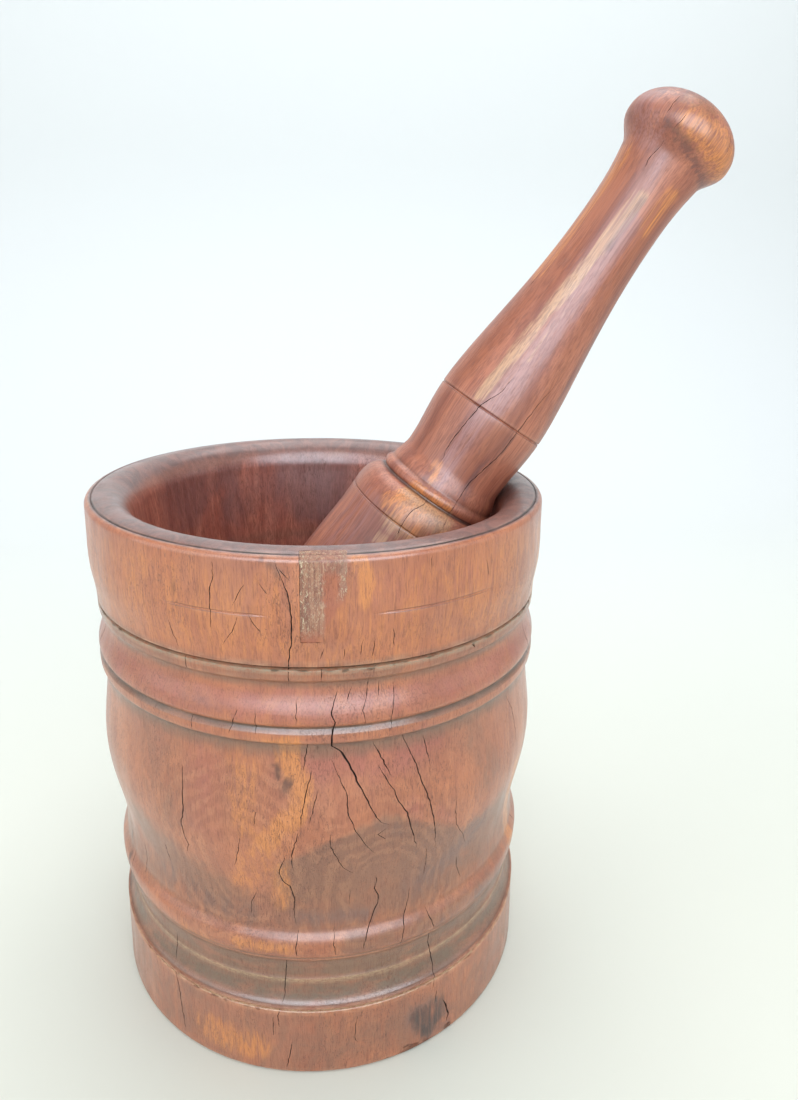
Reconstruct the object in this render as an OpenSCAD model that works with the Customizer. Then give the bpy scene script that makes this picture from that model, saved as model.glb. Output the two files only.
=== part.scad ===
// Turned hardwood mortar with its pestle leaning on the lip.
// Millimetres, +Z up. The origin is the centre of the mortar's flat foot.
// The pestle leans towards +X, and the repair in the rim faces -Y.

/* [Mortar outside] */
// Height from the foot to the crest of the lip
mortar_h = 235.2; // [233:0.2:245]
// Radius at the bottom edge of the foot band
foot_r = 99.8; // [99:0.1:101]
// Height of the plain foot band
foot_h = 33.5; // [30:0.5:36]
// Radius of the low ring
ring_r = 98.1; // [97.5:0.1:99]
// Height of the low ring's fullest part
ring_z = 66; // [64:0.5:68]
// Radius of the waist below the belly
waist_r = 94.9; // [94:0.1:96]
// Height of that waist
waist_z = 83; // [80:0.5:86]
// Radius of the belly
belly_r = 100.1; // [99:0.1:102]
// Height of the belly's fullest part
belly_z = 125.5; // [120:0.5:130]
// Radius of the neck above the belly
neck_r = 96.9; // [96.3:0.1:97.4]
// Height of that neck
neck_z = 159.5; // [157:0.5:160]
// Radius of the rolled collar
collar_r = 98.9; // [98.4:0.1:99.4]
// Height of the collar's fullest part
collar_z = 171.5; // [171:0.5:173]
// Radius of the hollow between the collar and the rim band
hollow_r = 95.5; // [95:0.1:96.5]
// Height of that hollow
hollow_z = 185; // [184:0.5:186]
// Radius of the rim band
rim_r = 99.2; // [98.8:0.1:100]
// Height of the sharp groove under the rim band
rim_z = 192.4; // [192:0.1:193]
// Height of the fine line scribed round the rim band
scribe_z = 213; // [208:0.5:218]

/* [Lip and cavity] */
// Radius of the mouth, where the lip's roll meets the wall
mouth_r = 79.8; // [79.8:0.1:81]
// Radius of the crest of the lip
crest_r = 90.5; // [89:0.5:92]
// Drop from the crest of the lip to the mouth
roll_drop = 14.2; // [12:0.2:14.2]
// Radius of the fine line scribed on top of the lip
lip_line_r = 96; // [95.5:0.1:96]
// Radius of the cavity where its rounded bottom begins
bowl_r = 66.6; // [66.6:0.2:70]
// Radius of the curve between the wall and the floor
bowl_corner = 48; // [44:1:48]
// Thickness of wood under the cavity
floor_t = 46; // [40:1:46]

/* [Rim patch] */
// Width of the repair let into the rim
patch_w = 16; // [12:1:22]
// How far its middle lies to the right of the front
patch_x = 1; // [-1:0.5:3]
// Height of the repair's lower edge
patch_z = 203; // [200:1:208]
// Height of the repair
patch_h = 29; // [24:1:29]
// Depth of the repair, from the rim's surface
patch_d = 6; // [4:0.5:8]

/* [Pestle] */
// Length from the tip of the foot to the top of the knob
pestle_l = 382.5; // [376:0.5:382.5]
// Radius of the pounding head
head_r = 38; // [36:0.5:38]
// Radius of the shoulder
shoulder_r = 34.2; // [32:0.1:34.2]
// Radius of the bead above the shoulder
bead_r = 28; // [27:0.1:28]
// Radius of the neck between the bead and the grip
throat_r = 23.9; // [23:0.1:23.9]
// Radius of the swell at the foot of the grip
swell_r = 25.5; // [24:0.1:25.5]
// Radius of the slimmest part of the grip
grip_r = 16.3; // [15:0.1:18]
// Radius of the knob
knob_r = 24.1; // [22:0.1:25]
// Lean of the pestle from upright
lean = 32.5; // [32.5:0.1:33]
// How far to the right of the mortar's axis the grip's scribed line lies
line_x = 76.1; // [75:0.1:76.2]
// Height of the middle of the grip's scribed line
line_z = 265.6; // [265.6:0.1:268]

/* [Hidden] */
$fn = 96;

// Width and depth of a fine scribed line, and of the deep grooves beside the bands
scribe_w = 0.8;
scribe_d = 0.5;
groove_w = 1.4;
groove_d = 2;
// Rounded arris between the rim band and the lip
arris = 2.4;
// Small chamfer round the bottom edge
chamfer = 0.9;
// Taper of the foot band and swell of the rim band
foot_taper = 1;
band_swell = 1.6;
// Height of the small bead between the two hollows above the foot band
fillet_z = 47;
// Width of the flat collar fillet and height of its middle
strip_w = 3.3;
strip_z = 164.8;
// Distance from the grip's scribed line up to the top of the knob
above_line = 146.5;
foot_to_line = pestle_l - above_line;
// Pocket cut past the rim's surface
over = 4;

// Points of an elliptical arc about c, from angle a to angle b
function arc(c, rx, ry, a, b, n) =
    [for (i = [0 : n]) let (t = a + (b - a) * i / n) [c.x + rx * cos(t), c.y + ry * sin(t)]];

// Points of a smooth S from p to q, upright at both ends; a power over 1 starts it later
function ess(p, q, n, power = 1) =
    [for (i = [0 : n])
        let (u = i / n, k = (1 - cos(180 * pow(u, power))) / 2)
        [p.x + (q.x - p.x) * k, p.y + (q.y - p.y) * u]];

// Points of a V-shaped line of width w and depth d cut into a face of radius r
function vee(r, z, w, d) = [[r, z - w / 2], [r - d, z], [r, z + w / 2]];

// Foot band, the hollows above it and the low ring
function lower_outline() = concat(
    [[foot_r - chamfer, 0], [foot_r, chamfer]],
    vee(foot_r - foot_taper, foot_h + groove_w / 2, groove_w, groove_d),
    arc([foot_r - foot_taper, fillet_z - 0.6], 4, fillet_z - foot_h - 2.6, 270, 180, 8),
    [[ring_r - 3.2, fillet_z], [ring_r - 3.6, fillet_z + 0.8]],
    arc([ring_r - 1.2, fillet_z + 1.6], 2.6, ring_z - fillet_z - 8.4, 180, 95, 8),
    arc([ring_r - 2.5, ring_z], 2.5, 6.4, -62, -6, 6)
);

// Belly between the two waists, above the sloping shoulder of the low ring
function belly_outline() = concat(
    ess([ring_r, ring_z + 1.8], [waist_r + 0.4, ring_z + 8.8], 10),
    ess([waist_r + 0.4, ring_z + 9.6], [waist_r, waist_z], 6),
    ess([waist_r, waist_z + 1], [belly_r, belly_z], 14),
    ess([belly_r, belly_z + 1], [neck_r, neck_z], 14)
);

// Collar: flat strip, sloping groove, roll and hollow
function collar_outline() = concat(
    [[neck_r + 0.2, strip_z - strip_w / 2 - 1.9], [collar_r - 0.6, strip_z - strip_w / 2 - 0.7]],
    [[collar_r, strip_z - strip_w / 2], [collar_r + 0.1, strip_z + strip_w / 2]],
    [[collar_r - 1.1, strip_z + strip_w / 2 + 2.2]],
    arc([collar_r - 1.8, collar_z], 1.8, 2.4, -50, -10, 4),
    ess([collar_r, collar_z], [hollow_r, hollow_z], 12, 0.9),
    [[hollow_r + 0.4, hollow_z + 1.2], [rim_r - 1.8, hollow_z + 2.6]]
);

// Rim band with its groove and scribed line, and the arris at its top
function rim_outline() = concat(
    vee(rim_r - band_swell, rim_z, groove_w, groove_d),
    ess([rim_r - band_swell, rim_z + groove_w], [rim_r, scribe_z - 2], 8),
    vee(rim_r, scribe_z, scribe_w, scribe_d),
    arc([rim_r - 0.5 - arris, mortar_h - 0.9 - arris], arris, arris, 0, 90, 8)
);

// Lip, from its scribed line over the crest and down to the mouth
function lip_outline() = concat(
    [[lip_line_r, mortar_h - 1.5]],
    arc([crest_r, mortar_h - 1.5], lip_line_r - crest_r, 1.5, 20, 90, 6),
    arc([crest_r, mortar_h - roll_drop], crest_r - mouth_r, roll_drop, 96, 180, 14)
);

// Rounded bottom of the cavity, from the wall to the middle of the floor
function bowl_outline() =
    arc([bowl_r - bowl_corner, floor_t + bowl_corner], bowl_corner, bowl_corner, 0, -90, 20);

function mortar_outline() = concat(
    [[0, 0]], lower_outline(), belly_outline(), collar_outline(),
    rim_outline(), lip_outline(), bowl_outline(), [[0, floor_t]]
);

// Pestle on its own axis, tip of the foot at 0
function head_outline() = concat(
    arc([0, 46], head_r, 46, -90, 0, 18),
    ess([head_r, foot_to_line - 150], [shoulder_r, foot_to_line - 61], 12, 2.2),
    vee(shoulder_r, foot_to_line - 58.8, scribe_w, scribe_d),
    arc([bead_r - 0.2, foot_to_line - 57], shoulder_r - bead_r + 0.2, 12, 0, 80, 10)
);

function throat_outline() = concat(
    [[bead_r - 0.9, foot_to_line - 44.4]],
    arc([bead_r - 2, foot_to_line - 41.6], 2, 2.4, -60, 60, 6),
    ess([throat_r + 2.2, foot_to_line - 38.4], [throat_r, foot_to_line - 29], 6),
    ess([throat_r, foot_to_line - 28], [swell_r, foot_to_line - 3], 8)
);

function grip_outline() = concat(
    vee(swell_r, foot_to_line, scribe_w, scribe_d),
    ess([swell_r, foot_to_line + 1], [grip_r, foot_to_line + 97], 20, 0.77),
    [for (u = [0.25 : 0.25 : 1]) [grip_r + 1.7 * u * u, foot_to_line + 98 + 19.5 * u]],
    ess([grip_r + 1.8, foot_to_line + 118], [knob_r, foot_to_line + 130], 8)
);

function knob_outline() =
    arc([0, foot_to_line + 131], knob_r, above_line - 131, 0, 90, 14);

function pestle_outline() =
    concat(head_outline(), throat_outline(), grip_outline(), knob_outline());

module mortar_billet() {
    rotate_extrude() polygon(mortar_outline());
}

module patch_block() {
    translate([patch_x - patch_w / 2, -rim_r - over, patch_z])
        cube([patch_w, patch_d + over, patch_h]);
}

// The mortar, turned from one billet, with a pocket for the repair
module mortar() {
    color([0.50, 0.25, 0.15])
        difference() {
            mortar_billet();
            patch_block();
        }
}

// The repair, a slip of wood glued into the pocket and dressed to the band
module rim_patch() {
    color([0.56, 0.36, 0.27])
        intersection() {
            mortar_billet();
            patch_block();
        }
}

// The pestle, turned from one stick, leaning on the right of the lip
module pestle() {
    color([0.48, 0.21, 0.13])
        translate([line_x, 0, line_z])
            rotate([0, lean, 0])
                translate([0, 0, -foot_to_line])
                    rotate_extrude() polygon(pestle_outline());
}

mortar();
rim_patch();
pestle();
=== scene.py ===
"""Looks of a turned hardwood mortar and its leaning pestle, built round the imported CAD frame.

Blender works in metres. A place on a turned piece is given as (angle, height): degrees round its
axis from the front (-Y), positive towards +X, and millimetres above its lowest point.
"""

import math
import random

import bmesh
import bpy
import numpy as np
from mathutils import Matrix, Vector, noise


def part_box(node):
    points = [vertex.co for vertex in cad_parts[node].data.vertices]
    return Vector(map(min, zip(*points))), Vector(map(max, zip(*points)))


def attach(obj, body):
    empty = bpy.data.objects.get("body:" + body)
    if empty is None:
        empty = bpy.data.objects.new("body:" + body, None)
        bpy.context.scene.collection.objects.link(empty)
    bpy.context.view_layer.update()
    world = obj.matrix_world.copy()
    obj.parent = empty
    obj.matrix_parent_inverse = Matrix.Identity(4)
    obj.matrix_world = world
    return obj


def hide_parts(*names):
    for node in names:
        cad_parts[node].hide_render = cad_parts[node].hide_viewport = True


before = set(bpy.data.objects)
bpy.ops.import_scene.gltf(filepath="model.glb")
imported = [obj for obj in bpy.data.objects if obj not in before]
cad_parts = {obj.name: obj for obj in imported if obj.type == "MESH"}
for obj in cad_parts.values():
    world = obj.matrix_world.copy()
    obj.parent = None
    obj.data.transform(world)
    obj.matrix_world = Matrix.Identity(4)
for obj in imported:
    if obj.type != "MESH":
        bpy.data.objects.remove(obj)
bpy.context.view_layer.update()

MM = 0.001

# ---------------------------------------------------------------- sizes

MORTAR_SEGMENTS = 256
SLIP_SEGMENTS = 720
PESTLE_SEGMENTS = 160
OUTSIDE_STEP = 2.4          # longest stretch of outline between two rings, mm
INSIDE_STEP = 5.0
SLIP_STEP = 0.9
CORNER = math.radians(24)   # a sharper turn of an outline than this is a corner
STRAIGHT = 6.0              # a longer run of an outline than this is straight, mm
ROUNDING = 0.35             # how far a worn corner is rounded back, mm
WOBBLE = 0.25               # how far the wood has moved out of round, mm
MORTAR_WARP, PESTLE_WARP = 3.1, 8.4     # which way each has moved
SMOOTH = math.radians(40)

PESTLE_LEAN = math.radians(32.5)
MORTAR_GIRTH = 98.0         # radius used to turn degrees round the mortar into mm
FLOOR_HEIGHT = 40.0         # the cavity is all above this
CAVITY_RADIUS = 79          # and inside this, mm
CUT_ABOVE = 0.6             # how far a crack's cutter stands out of the surface, mm
CRACK_STEP = 1.6            # height between the bends of a crack, mm
POCKET_GAP = 0.12           # gap round the slip let into the rim, mm
FILLER_WIDTH = 8.2          # rough strip down the slip's left, mm
SLIP_LOW, SLIP_HIGH = (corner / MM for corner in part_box("rim_patch"))

# ---------------------------------------------------------------- cracks, chips and figure

# Mortar cracks seen from the front: width in mm, then places (angle, height)
MORTAR_CRACKS = [
    # rim band
    (0.41, [(-21.5, 231), (-21.5, 226), (-22.5, 220), (-22.5, 206)]),
    (0.35, [(-15, 224), (-16.5, 220), (-17.5, 216)]),
    (0.26, [(-12, 225), (-10.5, 221)]),
    (0.35, [(-14.5, 213.5), (-13.5, 210), (-12, 207)]),
    (0.26, [(-16.5, 212), (-18, 206), (-20.5, 200)]),
    (0.52, [(-9, 233), (-8.5, 231), (-6.5, 222), (-5.8, 213), (-6, 203), (-6.8, 194), (-7, 184)]),
    (0.35, [(-8.2, 230.5), (-6, 226)]),
    (0.29, [(-33, 206), (-32.5, 200), (-31.5, 195)]),
    (0.35, [(0.5, 200.5), (-0.2, 196.5)]),
    (0.29, [(4.8, 200), (4.5, 196)]),
    (0.29, [(8.5, 203.5), (7.8, 196)]),
    (0.29, [(11, 203.5), (10.5, 195.5)]),
    (0.29, [(14.5, 207), (15, 204), (15, 198)]),
    (0.32, [(38, 225), (39, 217.5)]),
    (0.29, [(23, 232), (23, 227)]),
    # collar
    (0.35, [(-30, 193), (-30, 187)]),
    (0.29, [(-0.1, 192), (-0.1, 187)]),
    (0.32, [(-18, 175), (-18.5, 173), (-20, 165)]),
    (0.29, [(-14, 175), (-14, 166)]),
    (0.29, [(-5.5, 180), (-5.3, 171)]),
    (0.29, [(-29, 169), (-29, 164)]),
    (0.32, [(10, 187), (9.5, 179), (8.5, 175), (9, 169)]),
    (0.29, [(6.5, 184), (5, 178)]),
    (0.29, [(12.5, 185), (12, 178)]),
    (0.32, [(16, 185), (15.5, 178), (14.8, 171), (14.6, 165)]),
    # belly
    (0.75, [(3.8, 185), (2.2, 177), (1.9, 174.5), (2.6, 171.5), (2, 166), (2, 160.5), (3.9, 158), (5.8, 152),
           (7, 147), (8.7, 140), (10, 135), (11.5, 129), (12.5, 126.5), (15, 124)]),
    (0.41, [(13.8, 123.2), (11.8, 121), (13.6, 118)]),
    (0.52, [(10.8, 160.5), (12.5, 155), (14, 149), (15, 145)]),
    (0.58, [(11.7, 152), (13.7, 145), (15.6, 139), (16.6, 134), (18.8, 128), (19.4, 122), (20.5, 117),
            (22, 108)]),
    (0.58, [(17.5, 163), (19.5, 154), (20.8, 149), (22, 142), (24, 132), (25.5, 122), (26.5, 114),
            (27.5, 104)]),
    (0.32, [(23, 160), (24, 152), (25, 144)]),
    (0.43, [(1.8, 155), (3.5, 147), (5, 141), (5.2, 133), (7, 124), (9, 117), (12, 110)]),
    (0.38, [(1.4, 124), (1.4, 118), (2.6, 113), (4.2, 106), (6.6, 102)]),
    (0.32, [(31.9, 129), (32, 121), (33, 112), (36.5, 103), (38, 97)]),
    (0.32, [(24.8, 106), (25.5, 96), (25.2, 89)]),
    (0.32, [(36, 92), (36.2, 85), (38, 78)]),
    (0.29, [(52, 158), (56, 148), (57.2, 137), (57.3, 131)]),
    (0.58, [(-33, 146), (-32.8, 139), (-32.6, 126), (-33.8, 119), (-33.6, 112), (-33, 108), (-34.4, 103)]),
    (0.35, [(-3, 163), (-3.8, 156), (-4.2, 150)]),
    (0.41, [(-2.1, 152), (-3, 147), (-3.8, 141), (-4.7, 132), (-4.9, 127)]),
    (0.32, [(-0.9, 144), (-1.9, 138), (-3, 129)]),
    (0.46, [(-5.6, 125), (-6, 121), (-7, 115), (-7.3, 109), (-7, 105)]),
    (0.52, [(-8.2, 114), (-9.6, 108), (-10.4, 103), (-9.8, 99), (-8.2, 96), (-7.3, 90), (-7.4, 82),
            (-7, 76)]),
    (0.29, [(-18.6, 120), (-19.5, 112), (-21, 104)]),
    (0.29, [(-14.5, 133), (-15.3, 126)]),
    (0.23, [(-42.5, 100), (-42, 91)]),
    (0.29, [(-55, 88), (-54, 80), (-55, 72)]),
    # low ring, hollows and foot
    (0.46, [(-43, 51), (-42.6, 45), (-43, 40), (-42.5, 36.5)]),
    (0.52, [(-41.3, 35), (-40.3, 27), (-39.6, 17), (-38.6, 4)]),
    (0.41, [(-6.4, 74), (-7, 67), (-6.8, 62)]),
    (0.46, [(-9.6, 60), (-9.8, 52), (-10.3, 44), (-10.1, 40), (-11, 35.5)]),
    (0.41, [(-11.2, 34), (-11.7, 31), (-11.4, 25)]),
    (0.29, [(-12.9, 30), (-13, 20)]),
    (0.41, [(-8.4, 17), (-9.2, 9), (-10, 2)]),
    (0.29, [(-16, 92), (-18, 85), (-18, 79)]),
    (0.35, [(2.3, 75), (2, 68), (2.4, 62)]),
    (0.58, [(12.3, 99), (12.4, 94), (11.9, 91), (13.1, 87), (13, 83), (12, 80), (11.2, 75), (9.7, 70),
            (8.8, 62)]),
    (0.41, [(21.6, 86), (20.8, 79), (19.8, 73), (19, 66), (18.8, 59)]),
    (0.46, [(26, 73), (27, 67), (28.3, 61.5)]),
    (0.52, [(27.4, 61), (27.8, 52), (28.6, 45), (29, 39), (28.4, 35), (27.8, 28)]),
    (0.41, [(29.3, 27), (28.8, 21)]),
    (0.93, [(31.6, 19), (32.6, 14), (33.4, 9), (32.6, 5)]),
    (0.32, [(7.6, 29), (7, 24), (7, 16), (7.9, 14.5)]),
    (0.23, [(6.1, 93), (5.9, 85)]),
]

# Pestle cracks seen from the front
PESTLE_CRACKS = [
    (0.35, [(-16, 253), (-18, 246), (-27, 237), (-30, 225), (-32, 217), (-29, 207)]),
    (0.4, [(29, 262), (20.5, 250), (17.5, 237), (16.5, 222), (8, 207), (6, 197), (4.5, 190), (3, 181)]),
    (0.3, [(-18.5, 196), (-18, 190), (-22, 186), (-22.5, 182), (-21, 170)]),
    (0.25, [(-38.5, 374), (-38, 364)]),
    (0.23, [(-22, 368), (-25, 362)]),
    (0.25, [(-28, 358), (-33, 350), (-30.5, 346)]),
    (0.25, [(31.5, 374), (35.5, 367)]),
]

# Figure of the mortar's wood and a painted sheen as soft strokes: kind, strength, half width mm, softness mm,
# places
FIGURE = [
    # golden flame in the belly and its neighbours
    ("gold", 0.95, 4.2, 2.6, [(-7, 162), (-7.6, 156), (-6.3, 150), (-4.9, 145), (-4.8, 139), (-6.6, 132),
                              (-9.8, 126), (-12.5, 119)]),
    ("gold", 0.7, 4, 9, [(-17.5, 152), (-17.5, 126)]),
    ("gold", 0.55, 5, 9, [(-13, 116), (-17, 108), (-19, 96)]),
    ("gold", 0.6, 4.5, 4, [(-10.5, 106), (-10, 98), (-10.5, 88)]),
    ("gold", 0.7, 3.0, 3.2, [(-21, 65.5), (-9, 66)]),
    ("gold", 0.5, 1.3, 1.2, [(-13, 163.4), (-5, 163.4)]),
    ("gold", 0.4, 4, 4, [(-38, 62), (-30, 62)]),
    # rim band
    ("gold", 0.9, 2.6, 2.2, [(7.4, 233), (9.4, 226), (8.4, 217)]),
    ("gold", 0.3, 13, 10, [(-26, 214), (-12, 207)]),
    ("gold", 0.3, 9, 8, [(0, 197), (24, 203)]),
    ("rose", 0.35, 9, 8, [(12, 224), (34, 219)]),
    ("dark", 0.6, 0.9, 1.1, [(-11.5, 233.5), (-9.4, 231), (-8, 226), (-6.4, 216)]),
    ("grey", 0.7, 1.6, 1.4, [(-9.4, 232), (-8.3, 229.5)]),
    ("dark", 0.35, 1.0, 1.2, [(-31, 221), (-30.6, 217)]),
    # collar
    ("grey", 0.35, 4, 3.5, [(-30, 176), (-20, 173.5)]),
    ("rose", 0.4, 4, 4, [(-12, 181), (-2, 183)]),
    # upper belly
    # The rose stroke across the top of the belly is pinkish figure and a painted sheen.
    ("rose", 0.75, 9, 7, [(-1, 155), (14, 152), (24, 156)]),
    ("rose", 0.5, 9, 8, [(-26, 156), (-29, 122)]),
    ("rose", 0.4, 5, 5, [(-12.5, 156), (-13, 148)]),
    ("grey", 0.3, 2.4, 3.4, [(-24, 160), (-20.5, 150), (-18.5, 142), (-20, 128)]),
    ("dark", 1.0, 1.1, 0.9, [(-10.6, 153), (-9.2, 147), (-8.0, 141)]),
    ("dark", 0.9, 0.7, 0.8, [(-6.6, 148.5), (-7.7, 141.5)]),
    ("brown", 0.5, 8, 7, [(38, 150), (44, 128)]),
    # the brown arch under the long cracks, and the paler lobes on it
    ("brown", 0.95, 15, 3, [(-3, 99), (5, 107), (14, 113.5), (20, 107), (28, 99)]),
    ("brown", 0.85, 15, 6, [(52, 94), (26, 90), (0, 90)]),
    ("rose", 0.6, 4.4, 2.2, [(20, 131), (20.6, 125)]),
    ("rose", 0.5, 3, 2.4, [(27, 124), (31, 116)]),
    ("grey", 0.4, 4, 4, [(12.8, 126), (17.2, 119)]),
    ("grey", 0.8, 6, 9, [(24, 88), (33, 93), (44, 104)]),
    ("grey", 0.6, 4, 5, [(-6, 80), (10, 79)]),
    ("brown", 0.9, 12, 10, [(-50, 100), (-26, 84)]),
    ("grey", 0.5, 6, 7, [(-44, 84), (-20, 79)]),
    ("grey", 0.3, 5, 6, [(-46, 90), (-38, 80)]),
    ("grey", 0.6, 9, 8, [(33, 58), (60, 62)]),
    ("brown", 0.75, 6, 4, [(6, 66), (24, 67), (48, 66)]),
    ("brown", 0.4, 16, 12, [(-42, 150), (-36, 128)]),
    # foot
    ("gold", 0.6, 8, 5, [(-30, 14), (-18, 13)]),
    ("brown", 0.6, 12, 6, [(-6, 14), (20, 15)]),
    ("brown", 0.45, 14, 10, [(40, 18), (62, 16)]),
    ("knot", 0.9, 5.0, 3.6, [(24.6, 17.5), (26.6, 8)]),
    ("knot", 0.8, 3.0, 2.0, [(29.6, 21), (30.2, 11)]),
    ("grey", 0.5, 9, 5, [(25, 18), (29, 8)]),
]
# How many more strokes of each kind lie round the sides and back
STRAY_FIGURE = (("gold", 12), ("rose", 14), ("brown", 14), ("grey", 9), ("dark", 6))

# Tints in bands round the mortar: kind, from height, to height, softness in mm, strength
# The bands under the ring's lower edge (59.6 to 61.2 mm) and just under the strip (155 to 163 mm) are painted
# shade; the other stain bands are dirt in the hollows.
BANDS = [
    ("stain_and_shade", 35.4, 58.6, 1.2, 0.75), ("stain_and_shade", 36.5, 45, 2.0, 0.9), ("stain_and_shade", 59.6, 61.2, 0.6, 0.6),
    ("stain_and_shade", 158.8, 162.0, 0.9, 0.5), ("stain_and_shade", 166.6, 169.4, 0.5, 0.75), ("stain_and_shade", 184, 187.4, 1.2, 0.3),
    ("brown", 191.6, 195.4, 1.4, 0.6), ("rose", 170, 182, 2.5, 0.5), ("brown", 183.5, 191.8, 1.2, 0.6),
    ("gold", 195, 230, 4, 0.3), ("brown", 71, 92, 6, 0.6), ("brown", -4, 33, 3, 0.5),
    ("brown", 155, 163.0, 1.5, 0.7),
]
# Centres that the wood's fine arcs run round, on the belly
SWIRLS = [(13, 90), (-19, 104), (150, 120), (-110, 96)]
SWIRL_REACH = 100.0
# Pale dust along the sharp grooves, and a painted highlight along the fillet over the foot: height and
# strength
DUST_AND_HIGHLIGHT = [(33.9, 1.0), (46.7, 0.7), (191.5, 1.0)]
# This radius bounds both the dust and the painted highlight on the fillet.
DUST_AND_HIGHLIGHT_RADIUS = 92            # dust lies only outside this radius, mm
# Height of the line scribed round the rim, how far it reaches up and down, and over how many degrees it fades
SCRIBED = 213.0
SCRIBE_HALF = 0.8
SCRIBE_FADE = 6
# Where that line hasn't been rubbed away, as angles from and to
SCRIBE_LEFT = [(-36, -9), (10, 42), (78, 126), (152, 205)]

# Chips broken out of the mortar: place, size in mm (round, deep, high)
CHIPS = [
    ((23.5, 0.8), (8.6, 2.4, 2.4)), ((20.8, 3.4), (2.3, 0.9, 1.3)), ((15.3, 1.0), (1.1, 0.7, 0.7)),
    ((33.0, 2.0), (2.4, 1.0, 2.2)), ((-17.5, 0.4), (1.5, 0.8, 0.7)), ((121, 0.8), (5, 1.8, 1.6)),
    ((-134, 0.5), (3.6, 1.6, 1.4)),
]

# Lines along which the arrises have crumbled: how many nicks each has, and their size in mm
NICK_LINES = (33.2, 191.6)
NICK_COUNT = 46
NICK_SIZE = 0.9

# Fine cracks round the sides and back: between which heights, how many, width in mm
MORTAR_STRAYS = (((4, 33), 22, 0.3), ((62, 98), 20, 0.28), ((98, 160), 34, 0.36), ((165, 189), 26, 0.28),
                 ((194, 232), 30, 0.28))
PESTLE_STRAYS = (((60, 170), 8, 0.3), ((200, 300), 9, 0.24), ((300, 350), 5, 0.2))
# The angles that these cracks, and the stray figure, are spread over
MORTAR_SIDES, MORTAR_FIGURE_SIDES = (62, 298), (64, 296)
PESTLE_SIDES, PESTLE_FIGURE_SIDES = (60, 300), (80, 280)

# Figure of the pestle's wood and a painted sheen down its shaft, in the same form as the mortar's
PESTLE_FIGURE = [
    ("tan", 0.95, 2.3, 2.2, [(-14, 338), (-17, 326), (-21.5, 308), (-27, 280), (-33, 247), (-34, 240)]),
    ("tan", 0.35, 1.0, 0.9, [(-10, 300), (-14, 262)]),
    ("rust", 0.8, 6.5, 4, [(-58, 345), (-60, 300), (-66, 245)]),
    ("rust", 0.5, 2.4, 2, [(-33, 352), (-34, 320), (-44, 272)]),
    # This mauve stroke down the front of the shaft is a painted sheen.
    ("mauve", 0.9, 4.4, 2.8, [(-4, 328), (-6, 300), (-10, 262), (-14, 238)]),
    ("mauve", 0.5, 3, 2.5, [(-20, 352), (-17, 338)]),
    ("dark", 0.8, 1.6, 3.0, [(-11, 337), (-13, 316)]),
    ("rust", 0.75, 3.2, 2.2, [(27, 345), (24, 300), (22, 250)]),
    ("dark", 0.35, 4, 3.5, [(52, 340), (50, 250)]),
    ("gold", 0.55, 3.0, 3.4, [(22, 345), (20, 330)]),
    # knob
    ("gold", 0.7, 7, 5, [(-16, 368), (14, 368), (60, 366)]),
    ("gold", 0.6, 2.6, 2.4, [(-30, 375), (10, 377)]),
    ("dark", 0.8, 1.8, 2.2, [(-34, 363), (-12, 360.5), (26, 358), (64, 357)]),
    ("dark", 0.55, 9, 6, [(-60, 379), (-10, 380)]),
    ("mauve", 0.7, 7, 5, [(-66, 368), (-52, 358)]),
    # under the scribed line
    ("rust", 0.9, 2.8, 1.8, [(2, 234), (-1, 215), (-3, 199)]),
    ("rust", 0.7, 4.4, 3, [(-46, 234), (-45, 204)]),
    ("mauve", 0.8, 3.4, 2.4, [(-20, 234), (-21, 214), (-20, 200)]),
    ("dark", 0.5, 3, 2.4, [(13, 232), (11, 205)]),
    ("gold", 0.7, 2.4, 2, [(-30, 206), (-24, 200)]),
    ("gold", 0.85, 2.2, 1.6, [(-34, 193.6), (0, 193.6)]),
    ("gold", 0.8, 5.0, 4, [(-38, 184), (-12, 182)]),
    ("tan", 1.0, 6.0, 4, [(-28, 188), (0, 187)]),
    ("tan", 0.9, 4.4, 4, [(-30, 177), (16, 176)]),
    ("tan", 0.7, 3.0, 3, [(-30, 168), (-16, 166)]),
    ("gold", 0.9, 4.0, 2.5, [(8, 181), (18, 179)]),
    ("rust", 0.6, 3.5, 3, [(-24, 172), (-26, 120)]),
    ("dark", 0.5, 4, 3.5, [(-4, 184), (-6, 150)]),
    ("mauve", 0.5, 9, 6, [(-58, 175), (-60, 120)]),
]
STRAY_PESTLE_FIGURE = (("tan", 4), ("rust", 8), ("mauve", 6), ("dark", 6), ("gold", 3))


# ---------------------------------------------------------------- turned shapes

def turned_outline(node, place, keep):
    """Outline of a turned CAD node as (radius, height) in mm, walked ring by ring from its lowest ring."""
    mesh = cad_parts[node].data
    to_axis = place.inverted()
    rings = []
    ring_of = {}
    for vertex in mesh.vertices:
        point = to_axis @ vertex.co
        if not keep(point):
            continue
        ring = (math.hypot(point.x, point.y) / MM, point.z / MM)
        found = next((i for i, other in enumerate(rings) if math.dist(ring, other) < 0.02), None)
        if found is None:
            found = len(rings)
            rings.append(ring)
        ring_of[vertex.index] = found
    beside = {i: set() for i in range(len(rings))}
    for edge in mesh.edges:
        a, b = (ring_of.get(v) for v in edge.vertices)
        if a is not None and b is not None and a != b:
            beside[a].add(b)
            beside[b].add(a)
    walk = [min(range(len(rings)), key=lambda i: (len(beside[i]), rings[i][1]))]
    while True:
        ahead = [i for i in beside[walk[-1]] if i not in walk]
        if not ahead:
            return [rings[i] for i in walk]
        walk.append(min(ahead, key=lambda i: math.dist(rings[i], rings[walk[-1]])))


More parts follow.
